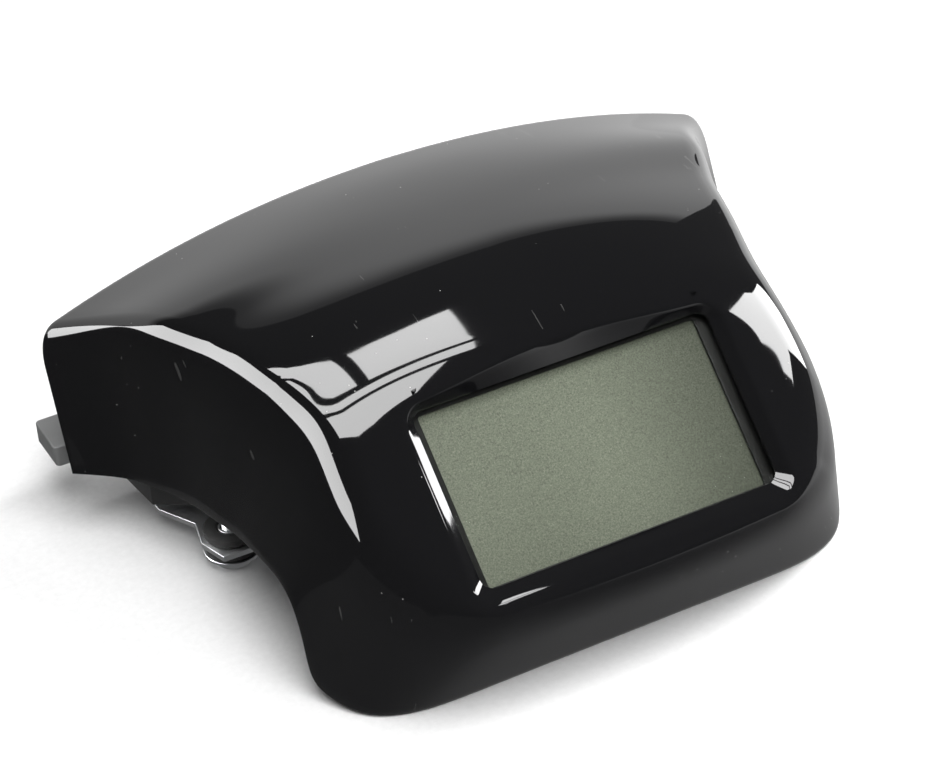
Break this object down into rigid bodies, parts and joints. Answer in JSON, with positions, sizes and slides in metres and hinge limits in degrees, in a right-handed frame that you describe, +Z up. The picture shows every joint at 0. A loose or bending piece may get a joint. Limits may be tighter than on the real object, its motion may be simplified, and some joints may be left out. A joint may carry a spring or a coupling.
{
  "type": "motorcycle instrument cluster",
  "caption": "Motorcycle instrument cluster: a gloss black hood cover over a rectangular grey-green LCD module, on a matt black base with a zinc bracket and rubber-mounted bolts.",
  "frame": {"origin": "bottom centre of the box around the whole cluster, on the plane that its bolt heads rest on", "axes": "+X is the rider's right, +Y points away from the rider, towards the hood's rear edge, and +Z points up"},
  "size_m": [0.242, 0.1868, 0.1013],
  "materials": {
    "gloss_cover": "gloss",
    "matt_housing": "matt",
    "clear_window": "clear",
    "mask": "satin",
    "lcd": "satin",
    "diffuser": "matt",
    "rubber": "matt",
    "board": "satin",
    "chip": "matt",
    "can": "satin",
    "connector": "satin",
    "pin": "polished",
    "zinc": "satin"
  },
  "bodies": {
    "root": {"backlight_led_1": "diffuser", "backlight_led_2": "diffuser", "backlight_led_3": "diffuser", "backlight_led_4": "diffuser", "base_housing": "matt_housing", "bolt_left": "zinc", "bolt_rear": "zinc", "bolt_right": "zinc", "capacitor_1": "can", "capacitor_2": "can", "case_screw_1": "zinc", "case_screw_2": "zinc", "case_screw_3": "zinc", "case_screw_4": "zinc", "case_seal": "rubber", "circuit_board": "board", "clear_lens": "clear_window", "contact_strip_lower": "rubber", "contact_strip_upper": "rubber", "cover_screw_1": "zinc", "cover_screw_2": "zinc", "cover_screw_3": "zinc", "cover_screw_4": "zinc", "display_driver": "chip", "display_mask": "mask", "front_case": "matt_housing", "grommet_left": "rubber", "grommet_rear": "rubber", "grommet_right": "rubber", "hood_cover": "gloss_cover", "lcd_glass": "lcd", "light_guide": "diffuser", "light_guide_holder": "diffuser", "mounting_bracket": "zinc", "pin_carrier": "connector", "processor": "chip", "rear_case": "matt_housing", "side_socket": "zinc", "sleeve_left": "zinc", "sleeve_rear": "zinc", "sleeve_right": "zinc", "socket_pin_1": "pin", "socket_pin_2": "pin", "socket_pin_3": "pin", "socket_pin_4": "pin", "socket_pin_5": "pin", "socket_pin_6": "pin", "vent_plug": "rubber", "voltage_regulator": "chip", "washer_left": "zinc", "washer_rear": "zinc", "washer_right": "zinc", "wiring_socket": "connector"}
  },
  "joints": []
}
